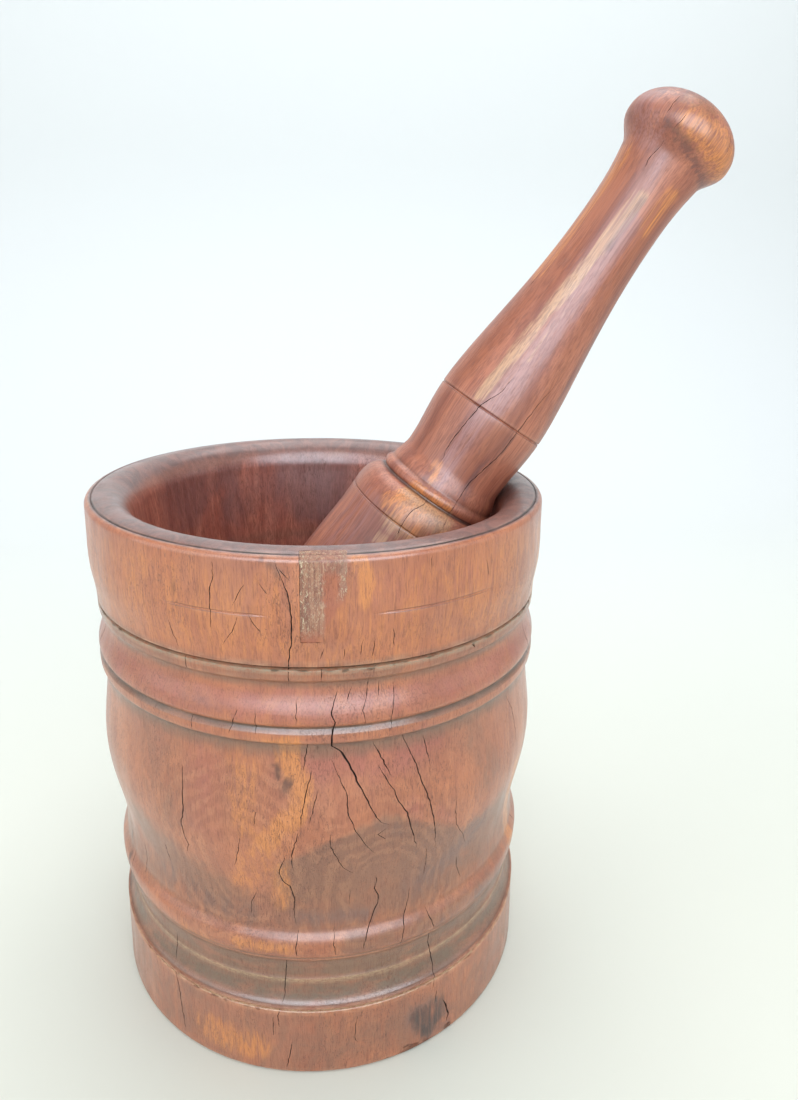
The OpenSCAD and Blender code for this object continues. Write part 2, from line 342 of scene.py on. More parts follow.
def joint_heading(before, here, after):
    """Direction in which a smooth outline passes through here, or None at a corner."""
    into, out = here - before, after - here
    if into.angle(out) > CORNER:
        return None
    if into.length > STRAIGHT:
        return into.normalized()
    if out.length > STRAIGHT:
        return out.normalized()
    return (into.normalized() + out.normalized()).normalized()


def round_corners(points):
    """The outline with three points in place of each sharp corner."""
    soft = [points[0]]
    for before, here, after in zip(points, points[1:], points[2:]):
        into, out = here - before, after - here
        if into.angle(out) < CORNER:
            soft.append(here)
            continue
        start = here - into.normalized() * min(ROUNDING, into.length * 0.4)
        end = here + out.normalized() * min(ROUNDING, out.length * 0.4)
        soft += [start, (start + end) / 4 + here / 2, end]
    return soft + [points[-1]]


def worn_outline(outline, step):
    """The outline with its corners rounded a little and its curves filled in smoothly."""
    soft = round_corners([Vector(p) for p in outline])
    headings = [None] + [joint_heading(*three) for three in zip(soft, soft[1:], soft[2:])] + [None]
    fine = []
    for here, after, leaving, arriving in zip(soft, soft[1:], headings, headings[1:]):
        run = after - here
        straight = run.length > STRAIGHT
        leave = run if straight or leaving is None else leaving * run.length
        arrive = run if straight or arriving is None else arriving * run.length
        pieces = max(1, math.ceil(run.length / step(here)))
        for k in range(pieces):
            t = k / pieces
            fine.append((2*t**3 - 3*t**2 + 1) * here + (t**3 - 2*t**2 + t) * leave
                        + (3*t**2 - 2*t**3) * after + (t**3 - t**2) * arrive)
    return fine + [soft[-1]]


def revolve(name, outline, segments, seed, relief=None):
    """A closed mesh turned from an outline, very slightly out of round. It starts and ends on the axis.

    relief gives how far the surface is sunk, in mm, at an (angle, height)."""
    body = bmesh.new()
    offset = Vector((seed, seed, 0))
    rings = []
    for radius, height in outline:
        if radius < 0.01:
            rings.append([body.verts.new((0, 0, height * MM))] * segments)
            continue
        ring = []
        for k in range(segments):
            turn = 2 * math.pi * k / segments
            side = Vector((math.sin(turn), -math.cos(turn), height / 90))
            moved = radius - WOBBLE * min(1, radius / 20) * (0.5 + 0.5 * noise.noise(side * 1.3 + offset))
            if relief:
                moved -= relief((math.degrees(turn) + 180) % 360 - 180, height)
            ring.append(body.verts.new((moved * MM * side.x, moved * MM * side.y, height * MM)))
        rings.append(ring)
    for low, high in zip(rings, rings[1:]):
        for k in range(segments):
            n = (k + 1) % segments
            corners = list(dict.fromkeys((low[k], low[n], high[n], high[k])))
            body.faces.new(corners)
    bmesh.ops.recalc_face_normals(body, faces=body.faces)
    return new_object(name, body)


def scribe_left(angle):
    """How much of the rim's scribed line is left, 0 to 1."""
    inside = [np.minimum((angle - low) % 360, (high - angle) % 360) * ((angle - low) % 360 < (high - low))
              for low, high in SCRIBE_LEFT]
    return soft_step(np.max(inside, axis=0) / SCRIBE_FADE)


class Surface:
    """The outer side of a turned piece: its radius by height, and places on it."""

    def __init__(self, outline):
        top = max(range(len(outline)), key=lambda i: outline[i][1])
        outside = outline[:top + 1]
        self.heights = [outside[0][1]]
        self.radii = [outside[0][0]]
        for radius, height in outside[1:]:
            if height > self.heights[-1] + 1e-4:
                self.heights.append(height)
                self.radii.append(radius)

    def radius(self, height):
        return float(np.interp(height, self.heights, self.radii))

    def place(self, angle, height, inset, aside=0.0):
        """The point inset mm under the surface and aside mm round it."""
        turn = math.radians(angle)
        outward = Vector((math.sin(turn), -math.cos(turn), 0))
        along = Vector((math.cos(turn), math.sin(turn), 0))
        return (outward * (self.radius(height) - inset) + along * aside + Vector((0, 0, height))) * MM


# ---------------------------------------------------------------- carving

def add_crack(body, surface, width, places, draw):
    """Adds to body a thin wavering wedge that cuts one crack."""
    stations = []
    for (angle, height), (next_angle, next_height) in zip(places, places[1:]):
        drop = abs(next_height - height)
        count = max(1, round(drop / CRACK_STEP))
        for k in range(count):
            t = k / count
            stations.append((angle + (next_angle - angle) * t, height + (next_height - height) * t))
    stations.append(places[-1])
    last = len(stations) - 1
    rings = []
    for i, (angle, height) in enumerate(stations):
        open_here = max(0.12, math.sin(math.pi * (i + 0.15) / (last + 0.3)) ** 0.6) * draw.uniform(0.7, 1.15)
        half = width * open_here / 2
        depth = (1.2 + 2.6 * width) * open_here
        shift = draw.gauss(0, 0.13)
        wide = half * (depth + CUT_ABOVE) / depth
        rings.append([
            body.verts.new(surface.place(angle, height, -CUT_ABOVE, shift - wide)),
            body.verts.new(surface.place(angle, height, -CUT_ABOVE, shift + wide)),
            body.verts.new(surface.place(angle, height, depth, shift + draw.gauss(0, 0.1))),
        ])
    made = [body.faces.new(rings[0]), body.faces.new(rings[-1])]
    for low, high in zip(rings, rings[1:]):
        for k in range(3):
            n = (k + 1) % 3
            made.append(body.faces.new((low[k], low[n], high[n], high[k])))
    bmesh.ops.recalc_face_normals(body, faces=made)


def stray_cracks(draw, count, span, heights, width):
    """Fine checks in the wood for the sides and back, spread evenly over the angles of span."""
    cracks = []
    for k in range(count):
        angle = span[0] + (span[1] - span[0]) * (k + draw.uniform(0.1, 0.9)) / count
        top = draw.uniform(heights[0] + 12, heights[1])
        length = draw.uniform(6, 34) * draw.uniform(0.5, 1.4)
        bottom = max(heights[0], top - length)
        lean = draw.uniform(-0.22, 0.22)
        places = []
        steps = max(2, round((top - bottom) / 7))
        for s in range(steps + 1):
            height = top + (bottom - top) * s / steps
            places.append((angle, height))
            angle += lean * (top - bottom) / steps + draw.gauss(0, 0.35)
        cracks.append((width * draw.uniform(0.6, 1.5), places))
    return cracks


def new_object(name, body):
    mesh = bpy.data.meshes.new(name)
    body.to_mesh(mesh)
    body.free()
    made = bpy.data.objects.new(name, mesh)
    bpy.context.scene.collection.objects.link(made)
    return made


def carve(piece, tool, operation="DIFFERENCE", surface_slot=1):
    """Cuts piece with tool, which is used up. Faces left by the tool get the piece's slot surface_slot."""
    while len(tool.data.materials) < len(piece.data.materials):
        tool.data.materials.append(piece.data.materials[len(tool.data.materials)])
    for face in tool.data.polygons:
        face.material_index = surface_slot
    cut = piece.modifiers.new("cut", "BOOLEAN")
    cut.operation = operation
    cut.solver = "MANIFOLD"
    cut.object = tool
    tool.matrix_world = piece.matrix_world
    graph = bpy.context.evaluated_depsgraph_get()
    result = bpy.data.meshes.new_from_object(piece.evaluated_get(graph))
    piece.modifiers.clear()
    piece.data = result
    bpy.data.objects.remove(tool)


def block(name, outline, near, far):
    """A block with a drawn front: outline in (x, height) mm, from y = near to y = far."""
    body = bmesh.new()
    front = [body.verts.new((x * MM, near * MM, z * MM)) for x, z in outline]
    back = [body.verts.new((x * MM, far * MM, z * MM)) for x, z in outline]
    body.faces.new(front)
    body.faces.new(back)
    for k in range(len(outline)):
        n = (k + 1) % len(outline)
        body.faces.new((front[k], front[n], back[n], back[k]))
    bmesh.ops.recalc_face_normals(body, faces=body.faces)
    return new_object(name, body)


def add_lump(body, surface, angle, height, size, seed):
    """A rough egg that breaks a chip out of the surface: size is in mm round, deep and high."""
    around, deep, high = size
    centre = surface.place(angle, max(height, 0.01), 0)
    turn = math.radians(angle)
    outward = Vector((math.sin(turn), -math.cos(turn), 0))
    along = Vector((math.cos(turn), math.sin(turn), 0))
    centre.z = height * MM
    for vertex in bmesh.ops.create_icosphere(body, subdivisions=3, radius=1)["verts"]:
        way = vertex.co.copy()
        bulge = 1 + 0.35 * noise.fractal(way * 1.9 + Vector((seed, 0, 0)), 0.8, 2.0, 3)
        spread = along * way.x * around + outward * way.y * deep + Vector((0, 0, way.z * high))
        vertex.co = centre + spread * bulge * MM


# ---------------------------------------------------------------- what the wood knows about its shape

def set_layer(piece, name, values):
    layer = piece.data.attributes.new(name, "FLOAT", "POINT")
    layer.data.foreach_set("value", values.astype(np.float32))


def vertex_places(piece):
    """Radius, angle and height of every vertex, in mm and degrees."""
    flat = np.zeros(len(piece.data.vertices) * 3)
    piece.data.vertices.foreach_get("co", flat)
    x, y, z = flat.reshape(-1, 3).T / MM
    return np.hypot(x, y), np.degrees(np.arctan2(x, -y)), z


def bend_layers(piece, outline, radius, height, kept=1.0):
    """Marks worn outer corners as edge, and inner corners as the painted shade of the grooves, from the bends
    of the outline.
    """
    points = np.array([tuple(p) for p in outline])
    runs = np.diff(points, axis=0)
    heading = np.unwrap(np.arctan2(runs[:, 1], runs[:, 0]))
    reach = 0.8
    length = np.concatenate([[0], np.cumsum(np.hypot(*runs.T))])
    turn = np.zeros(len(points))
    turn[1:-1] = np.diff(heading)
    near = np.abs(length[:, None] - length[None, :]) < reach
    bend = near @ turn
    nearest = np.zeros(len(radius), int)
    for start in range(0, len(radius), 4000):
        part = slice(start, start + 4000)
        gap = (radius[part, None] - points[None, :, 0]) ** 2 + (height[part, None] - points[None, :, 1]) ** 2
        nearest[part] = gap.argmin(1)
    here = bend[nearest] * kept
    set_layer(piece, "edge", np.clip((here - 0.3) / 0.9, 0, 1))
    set_layer(piece, "groove_shade", np.clip((-here - 0.3) / 0.9, 0, 1))


def soft_step(values):
    values = np.clip(values, 0, 1)
    return values * values * (3 - 2 * values)


def stroke_gap(angle, height, girth, places):
    """How far every point lies from a line of places, in mm over the surface."""
    first = places[0][0]
    x = ((angle - first + 180) % 360 - 180) * math.pi / 180 * girth
    best = np.full(len(angle), 1e9)
    for (a, low), (b, high) in zip(places, places[1:]):
        start = np.radians(a - first) * girth
        run = np.radians(b - a) * girth
        climb = high - low
        along = ((x - start) * run + (height - low) * climb) / (run * run + climb * climb + 1e-9)
        along = np.clip(along, 0, 1)
        best = np.minimum(best, np.hypot(x - start - along * run, height - low - along * climb))
    return best


def stray_figure(counts, span, heights, wide, seed):
    """More strokes of figure round the sides and back, which nobody has described."""
    draw = random.Random(seed)
    strokes = []
    for kind, count in counts:
        for _ in range(count):
            angle = draw.uniform(*span)
            low = draw.uniform(*heights)
            high = min(heights[1], low + draw.uniform(14, 60))
            half = draw.uniform(0.3, 1.0) * wide * (0.3 if kind == "dark" else 1)
            lean = draw.uniform(-6, 6)
            places = [(angle + lean * t + draw.gauss(0, 1.2), low + (high - low) * t)
                      for t in (0, 0.35, 0.7, 1)]
            strokes.append((kind, draw.uniform(0.4, 0.85), half, half * 0.7, places))
    return strokes


def figure_layers(piece, angle, height, girth, strokes, bands=()):
    """Stores on every vertex how strongly each kind of figure and tint shows there, painted shade and sheen
    among them.
    """
    totals = {}
    for kind, strength, half, soft, places in strokes:
        gap = stroke_gap(angle, height, girth, places)
        share = strength * soft_step((half + soft - gap) / (2 * soft))
        totals[kind] = np.maximum(totals.get(kind, 0), share)
    for kind, low, high, soft, strength in bands:
        inner = np.minimum(height - low, high - height)
        share = strength * soft_step((inner + soft) / (2 * soft))
        totals[kind] = np.maximum(totals.get(kind, 0), share)
    for kind, total in totals.items():
        set_layer(piece, kind, total)


# ---------------------------------------------------------------- materials

def paint(red, green, blue):
    """A colour given as 0 to 255 display values, as the linear colour that nodes use."""
    values = []
    for v in (red, green, blue):
        v /= 255
        values.append(v / 12.92 if v <= 0.04045 else ((v + 0.055) / 1.055) ** 2.4)
    return (*values, 1.0)


class Wood:
    """Short calls for the nodes of one wood material."""

    def __init__(self, name, own_place=False):
        self.material = bpy.data.materials.new(name)
        self.material.use_nodes = True
        self.tree = self.material.node_tree
        self.shader = self.tree.nodes["Principled BSDF"]
        if own_place:
            self.place = self.add("ShaderNodeAttribute", attribute_name="own_place").outputs["Vector"]
        else:
            self.place = self.add("ShaderNodeTexCoord").outputs["Object"]

    def add(self, kind, inputs=None, **settings):
        node = self.tree.nodes.new(kind)
        for key, value in settings.items():
            setattr(node, key, value)
        for key, value in (inputs or {}).items():
            self.feed(node.inputs[key], value)
        return node

    def feed(self, socket, value):
        if isinstance(value, bpy.types.NodeSocket):
            self.tree.links.new(value, socket)
        else:
            socket.default_value = value

    def layer(self, name):
        return self.add("ShaderNodeAttribute", attribute_name=name).outputs["Fac"]

    def axis(self, name):
        return self.add("ShaderNodeSeparateXYZ", {0: self.place}).outputs[name]

    def grain(self, size, detail=4, rough=0.55, warp=0.0, shift=0.0):
        """Noise with grains of size (x, y, z) mm."""
        mapping = self.add("ShaderNodeMapping", {
            "Vector": self.place, "Scale": [1 / (MM * s) for s in size], "Location": (shift, shift, shift)})
        return self.add("ShaderNodeTexNoise", {
            "Vector": mapping.outputs["Vector"], "Scale": 1, "Detail": detail, "Roughness": rough,
            "Distortion": warp}).outputs["Fac"]

    def rings(self, width, pith, tilt, warp):
        """Growth rings width mm apart round a pith at (x, y) mm, tilted in degrees about X and Y."""
        mapping = self.add("ShaderNodeMapping", {
            "Vector": self.place, "Location": (pith[0] * MM, pith[1] * MM, 0),
            "Rotation": (math.radians(tilt[0]), math.radians(tilt[1]), 0), "Scale": (1, 1, 0.45)})
        return self.add("ShaderNodeTexWave", {
            "Vector": mapping.outputs["Vector"], "Scale": 2 * math.pi / (20 * width * MM), "Distortion": warp,
            "Detail": 3, "Detail Scale": 0.55}, wave_type="RINGS", rings_direction="Z").outputs["Fac"]

    def span(self, value, low, high, to_low=0.0, to_high=1.0):
        """Maps low..high smoothly onto to_low..to_high."""
        return self.add("ShaderNodeMapRange", {
            "Value": value, "From Min": low, "From Max": high, "To Min": to_low, "To Max": to_high},
            interpolation_type="SMOOTHSTEP").outputs["Result"]

    def calc(self, operation, first, second=0.0):
        return self.add("ShaderNodeMath", {0: first, 1: second}, operation=operation).outputs[0]

    def both(self, *shares):
        """The product of several shares."""
        total = shares[0]
        for share in shares[1:]:
            total = self.calc("MULTIPLY", total, share)
        return total

    def mix(self, share, first, second):
        return self.add("ShaderNodeMix", {"Factor": share, "A": first, "B": second},
                        data_type="RGBA").outputs["Result"]

    def finish(self, colour, roughness, height, depth, coat=0.0, coat_rough=0.22):
        """Joins colour, roughness, a relief depth mm deep and a coat of wax to the shader."""
        bump = self.add("ShaderNodeBump", {"Strength": 1, "Distance": depth * MM, "Height": height})
        inputs = {"Base Color": colour, "Roughness": roughness, "Normal": bump.outputs["Normal"],
                  "Coat Weight": coat, "Coat Roughness": coat_rough}
        for name, value in inputs.items():
            self.feed(self.shader.inputs[name], value)
        return self.material


def figured(wood, colour, shades, ragged, soften=0.32):
    """Lays the strokes of figure, painted sheen and shade among them, over the colour, torn along the grain
    by a ragged noise.
    """
    tear = wood.span(ragged, 0.3, 0.7, -soften, soften)
    for name, shade, most in shades:
        layer = wood.layer(name)
        share = wood.span(wood.calc("ADD", layer, wood.both(tear, wood.span(layer, 0.02, 0.4))), 0.05, 1.0)
        colour = wood.mix(wood.both(share, most), colour, shade)
    return colour


def mended(wood, colour, height):
    """Overlays rough old filler down the left and along the top of a slip, and redder wood beside it."""
    mix, span, grain, both, calc = wood.mix, wood.span, wood.grain, wood.both, wood.calc
    low, high = SLIP_LOW * MM, SLIP_HIGH * MM
    left = low.x
    up = wood.axis("Z")
    waver = both(calc("SUBTRACT", grain((2.2, 2.2, 4), 4, 0.65, 0, 6), 0.5), 5 * MM)
    here = calc("ADD", wood.axis("X"), waver)
    rise = calc("SUBTRACT", up, low.z)
    slant = calc("ADD", both(rise, (high.x - left) / (high.z - low.z)), left + 6 * MM)
    beyond = calc("SUBTRACT", here, calc("MINIMUM", slant, high.x))
    red = span(beyond, -1.4 * MM, 1.0 * MM, 1, 0)
    strip = span(here, left + 7.0 * MM, left + 9.0 * MM, 1, 0)
    tall = high.z - low.z
    top = both(span(calc("ADD", rise, waver), tall - 5 * MM, tall - 2 * MM), 0.7)
    torn = both(calc("MAXIMUM", strip, top), span(rise, 0, 7 * MM))
    streak = grain((1.2, 1.2, 14), 5, 0.6, 0.6, 5)
    colour = mix(both(red, 0.7), colour, mix(streak, paint(138, 74, 58), paint(182, 108, 84)))
    filler = mix(span(streak, 0.36, 0.64), paint(124, 82, 64), paint(172, 126, 98))
    colour = mix(both(torn, 0.8), colour, filler)
    rim = both(span(beyond, -3.6 * MM, -1.4 * MM), red, span(rise, 14 * MM, 20 * MM))
    colour = mix(both(rim, 0.6), colour, paint(158, 120, 100))
    flecks = span(grain((0.7, 0.7, 1.7), 4, 0.75, 1.2, 8), 0.52, 0.6)
    near_edge = span(here, left + 0.4 * MM, left + 4.0 * MM, 1, 0.4)
    flecks = both(flecks, calc("MAXIMUM", both(torn, near_edge), both(rim, 0.8)))
    colour = mix(both(flecks, 0.9), colour, paint(232, 208, 174))
    rubble = both(calc("MAXIMUM", torn, rim), grain((0.7, 0.7, 2), 4, 0.7), 3)
    height = calc("ADD", height, rubble)
    return colour, calc("ADD", height, flecks), torn


def mortar_wood(name, slip=False):
    """Old waxed hardwood; a slip let into it also shows its filler."""
    wood = Wood(name)
    mix, span, grain, both, calc = wood.mix, wood.span, wood.grain, wood.both, wood.calc
    streak = grain((8, 8, 70), 4, 0.55, 1.1)
    fibre = grain((1.0, 1.0, 9), 5, 0.62, 1.3)
    blotch = grain((44, 44, 60), 3, 0.5, 0.5, 7)
    mottle = grain((9, 9, 13), 5, 0.62, 0.7, 4)
    colour = mix(span(streak, 0.34, 0.68), paint(174, 103, 72), paint(192, 118, 78))
    colour = mix(span(blotch, 0.42, 0.62, 0, 0.6), colour, paint(166, 106, 82))
    colour = mix(span(mottle, 0.42, 0.66, 0, 0.2), colour, paint(206, 138, 102))
    hairs = span(grain((0.5, 0.5, 9), 3, 0.6, 1.0, 31), 0.5, 0.66)
    rings = wood.rings(15, (18, 34), (8, -6), 6.0)
    colour = mix(span(rings, 0.3, 0.95, 0, 0.2), colour, paint(150, 86, 66))
    cloudy = grain((9, 9, 14), 4, 0.6, 1.2, 3)
    ragged = grain((3.6, 3.6, 18), 4, 0.6, 1.2, 3)
    colour = figured(wood, colour, (
        ("rose", paint(172, 98, 84), 0.8), ("brown", paint(136, 96, 76), 0.85),
        ("grey", paint(120, 94, 88), 0.75)), cloudy, 0.2)
    colour = figured(wood, colour, (
        ("gold", paint(214, 136, 72), 0.85), ("dark", paint(96, 58, 44), 0.9),
        ("knot", paint(70, 56, 52), 0.95)), ragged)

    # Fine arcs round the swirls
    swirl = wood.layer("swirl")
    waver = both(grain((24, 24, 30), 5, 0.6, 0.4, 15), 26)
    arcs = calc("SINE", calc("ADD", both(swirl, SWIRL_REACH * 2 * math.pi / 5.2), waver))
    within = both(span(swirl, 0.08, 0.16), span(swirl, 0.34, 0.5, 1, 0))
    arcs = both(span(arcs, -0.4, 1.0), within, span(mottle, 0.35, 0.6, 0.2, 1))
    colour = mix(both(arcs, 0.22), colour, paint(188, 134, 98))
    colour = mix(both(within, span(arcs, 0, 0.3, 0.12, 0)), colour, paint(96, 60, 44))

    # The cavity's redder wood and the lip's darker wood
    inner = mix(span(streak, 0.38, 0.62), paint(160, 90, 74), paint(190, 118, 98))
    inner = mix(span(blotch, 0.44, 0.58, 0, 0.7), inner, paint(120, 80, 78))
    inner = mix(span(fibre, 0.42, 0.7, 0, 0.5), inner, paint(86, 44, 38))
    colour = mix(wood.layer("inside"), colour, inner)
    lip = mix(span(streak, 0.38, 0.62), paint(112, 86, 82), paint(138, 100, 92))
    colour = mix(wood.layer("lip"), colour, lip)

    # Dirt in the hollows with painted shade under the ring's edge and under the strip, fibres, hairs, dark
    # curls, painted shade in the grooves, worn edges, and dust with a painted highlight on the fillet
    # Dirt in the coves and strip, and painted shade under the ring's edge and under the strip
    dirt_and_shade = both(wood.layer("stain_and_shade"), span(grain((12, 12, 5), 4, 0.6), 0.25, 0.6, 0.5, 1))
    colour = mix(dirt_and_shade, colour, paint(108, 94, 78))
    colour = mix(span(fibre, 0.45, 0.7, 0, 0.2), colour, paint(122, 68, 48))
    colour = mix(both(hairs, 0.45), colour, paint(110, 58, 42))
    curls = span(grain((0.7, 0.7, 3.6), 3, 0.55, 2.4, 11), 0.57, 0.64)
    patchy = span(grain((26, 26, 30), 3, 0.5, 0, 5), 0.38, 0.6, 0.25, 1)
    curls = both(curls, patchy)
    colour = mix(both(curls, 0.65), colour, paint(98, 52, 38))
    # Painted shade: darkens the grooves and inner corners
    broken = span(grain((15, 15, 9), 3, 0.6, 0, 21), 0.36, 0.56, 0.35, 0.85)
    colour = mix(both(wood.layer("groove_shade"), broken), colour, paint(54, 38, 28))
    worn = both(wood.layer("edge"), span(grain((6, 6, 3), 4, 0.6, 0, 9), 0.4, 0.65))
    colour = mix(both(worn, 0.3), colour, paint(226, 172, 136))
    # Dust in the grooves, and a painted highlight along the fillet over the foot
    specks = span(grain((2.2, 2.2, 0.5), 4, 0.75, 0, 13), 0.42, 0.58, 0.25, 1)
    dust_and_highlight_tone = mix(span(wood.axis("Z"), 0.1, 0.12), paint(202, 170, 132), paint(150, 138, 116))
    colour = mix(both(wood.layer("dust_and_highlight"), specks, 0.85), colour, dust_and_highlight_tone)
    rough = span(grain((12, 12, 30), 4, 0.6, 0, 2), 0.3, 0.7, 0.3, 0.46)
    height = calc("SUBTRACT", both(fibre, 0.4), both(curls, 0.8))
    height = calc("ADD", height, both(grain((400, 400, 0.9), 2, 0.5), 0.3))
    coat = 0.5
    if slip:
        colour, height, torn = mended(wood, colour, height)
        rough = calc("ADD", rough, both(torn, 0.3))
        coat = 0.2
    return wood.finish(colour, rough, height, 0.1, coat, 0.2)


def pestle_wood():
    """The same wood in one straight-grained stick."""
    wood = Wood("waxed_pestle_wood", own_place=True)
    mix, span, grain, both, calc = wood.mix, wood.span, wood.grain, wood.both, wood.calc
    streak = grain((3.4, 3.4, 260), 5, 0.6, 0.3, 1)
    broad = grain((11, 11, 500), 3, 0.5, 0.3, 4)
    fibre = grain((0.7, 0.7, 60), 5, 0.6, 0, 2)
    colour = mix(span(broad, 0.38, 0.62), paint(148, 86, 66), paint(186, 116, 88))
    colour = mix(span(streak, 0.4, 0.64, 0, 0.5), colour, paint(148, 82, 66))
    ragged = grain((1.8, 1.8, 120), 5, 0.6, 0.2, 3)
    colour = figured(wood, colour, (
        ("mauve", paint(166, 112, 104), 0.85), ("rust", paint(166, 98, 70), 0.8),
        ("tan", paint(204, 156, 114), 0.85), ("gold", paint(216, 138, 76), 0.9),
        ("dark", paint(92, 62, 64), 0.7)), ragged, 0.4)
    colour = mix(span(fibre, 0.4, 0.68, 0, 0.5), colour, paint(104, 54, 42))
    pores = span(grain((0.45, 0.45, 9), 3, 0.5, 0, 11), 0.6, 0.68)
    colour = mix(both(pores, 0.25), colour, paint(86, 46, 36))
    # Painted shade: darkens the grooves and inner corners
    colour = mix(both(wood.layer("groove_shade"), 0.75), colour, paint(48, 30, 24))
    colour = mix(both(wood.layer("edge"), 0.25), colour, paint(222, 166, 134))
    rough = span(grain((10, 10, 40), 4, 0.6, 0, 2), 0.3, 0.7, 0.36, 0.52)
    height = calc("SUBTRACT", both(fibre, 0.4), both(pores, 0.6))
    return wood.finish(colour, rough, height, 0.08, 0.2, 0.24)


def crack_wood():
    """The inside of a crack, painted dark as the shade deep in it."""
    wood = Wood("crack_painted_shade")
    # Painted shade: the crack's walls are coloured near black
    colour = wood.mix(wood.grain((2, 2, 8), 4), paint(44, 24, 18), paint(84, 48, 34))
    return wood.finish(colour, 0.9, wood.grain((0.6, 0.6, 2), 3), 0.1)


def raw_wood():
    """Pale wood bared by a chip."""
    wood = Wood("raw_chipped_wood")
    streak = wood.span(wood.grain((1, 1, 5), 4), 0.35, 0.65)
    colour = wood.mix(streak, paint(158, 112, 88), paint(216, 180, 150))
    return wood.finish(colour, 0.75, wood.grain((0.7, 0.7, 2.5), 4), 0.3)


# ---------------------------------------------------------------- the mortar and its repair

def give(piece, materials):
    for material in materials:
        piece.data.materials.append(material)


def smooth(piece):
    piece.data.shade_smooth()
    piece.data.set_sharp_from_angle(angle=SMOOTH)


def inside_step(point):
    return INSIDE_STEP if point.x < CAVITY_RADIUS and point.y > FLOOR_HEIGHT else OUTSIDE_STEP


def slip_outline(margin, ragged):
    """Front of the repair, or of its pocket when it has a margin, as (x, height) in mm."""
    left, right = SLIP_LOW.x - margin, SLIP_HIGH.x
    bottom, top = SLIP_LOW.z, SLIP_HIGH.z + 3 + margin
    draw = random.Random(8)
    steps = 12
    ragged_side = [(left + draw.gauss(0, ragged), bottom + (top - bottom) * k / steps)
                   for k in range(steps - 1, 0, -1)]
    return [(left, bottom), (right, bottom), (right, top), (left, top)] + ragged_side


def slip_step(point):
    """Fine steps on the rim, where the slip is, and coarse ones on the rest, which is cut away."""
    close = point.x > 85 and SLIP_LOW.z - 2 < point.y
    return SLIP_STEP if close else 12.0


def slip_relief(angle, height):
    """How deep the old filler's rough strip lies under the band, in mm."""
    x = math.sin(math.radians(angle)) * MORTAR_GIRTH
    inner = x - SLIP_LOW.x
    if not (-1 < inner < 9 and abs(angle) < 20):
        return 0
    spot = Vector((x / 1.3, height / 3.2, 4))
    strip = max(0.0, min(1.0, (FILLER_WIDTH - inner) / 2))
    return strip * (0.22 + 0.4 * noise.fractal(spot, 0.7, 2.0, 3))


def add_nicks(body, surface, draw, height):
    """Small chips scattered along the edge of a groove."""
    for k in range(NICK_COUNT):
        angle = draw.uniform(-180, 180)
        shape = [NICK_SIZE * draw.uniform(*share) for share in ((0.6, 2.4), (0.3, 0.6), (0.4, 0.9))]
        add_lump(body, surface, angle, height + draw.gauss(0, 0.25), shape, k)


def cut_cracks(name, piece, surface, listed, strays, sides, draw):
    """Cuts the listed cracks into a piece, and stray ones round its sides."""
    cracks = bmesh.new()
    for width, places in listed:
        add_crack(cracks, surface, width, places, draw)
    for heights, count, stray_width in strays:
        for width, places in stray_cracks(draw, count, sides, heights, stray_width):
            add_crack(cracks, surface, width, places, draw)
    carve(piece, new_object(name, cracks))


def build_mortar(materials):
    """The mortar and the slip in its rim, turned from one outline: the CAD mortar's, read at the back."""
    raw = turned_outline("mortar", Matrix.Identity(4), lambda p: p.y > 0.004)
    raw = [(0, 0)] + [p for p in raw if p[0] > 0.5] + [(0, raw[-1][1])]
    outline = worn_outline(raw, inside_step)
    surface = Surface(outline)
    flush = (surface.radius(SCRIBED - SCRIBE_HALF) + surface.radius(SCRIBED + SCRIBE_HALF)) / 2

    def rubbed(angle, height):
        """How deep the surface lies: less than nothing where the scribed line is rubbed away."""
        if abs(height - SCRIBED) > 0.75:
            return 0
        return (surface.radius(height) - flush) * (1 - float(scribe_left(angle)))

    def slip_sunk(angle, height):
        return rubbed(angle, height) + slip_relief(angle, height)

    billet = revolve("mortar_turned", outline, MORTAR_SEGMENTS, MORTAR_WARP, rubbed)
    slip = revolve("rim_repair", worn_outline(raw, slip_step), SLIP_SEGMENTS, MORTAR_WARP, slip_sunk)
    give(billet, materials["mortar"])
    give(slip, materials["patch"])

    near, far = SLIP_LOW.y - 6, SLIP_HIGH.y
    carve(slip, block("slip_block", slip_outline(0, 0.12), near, far), "INTERSECT", 0)
    carve(billet, block("pocket_block", slip_outline(POCKET_GAP, 0.1), near, far))

    draw = random.Random(21)
    cut_cracks("cracks", billet, surface, MORTAR_CRACKS, MORTAR_STRAYS, MORTAR_SIDES, draw)

    chips = bmesh.new()
    for seed, ((angle, height), size) in enumerate(CHIPS):
        add_lump(chips, surface, angle, height, size, seed)
    carve(billet, new_object("chips", chips), surface_slot=2)
    nicks = bmesh.new()
    for height in NICK_LINES:
        add_nicks(nicks, surface, draw, height)
    carve(billet, new_object("nicks", nicks), surface_slot=0)
    return billet, slip, outline


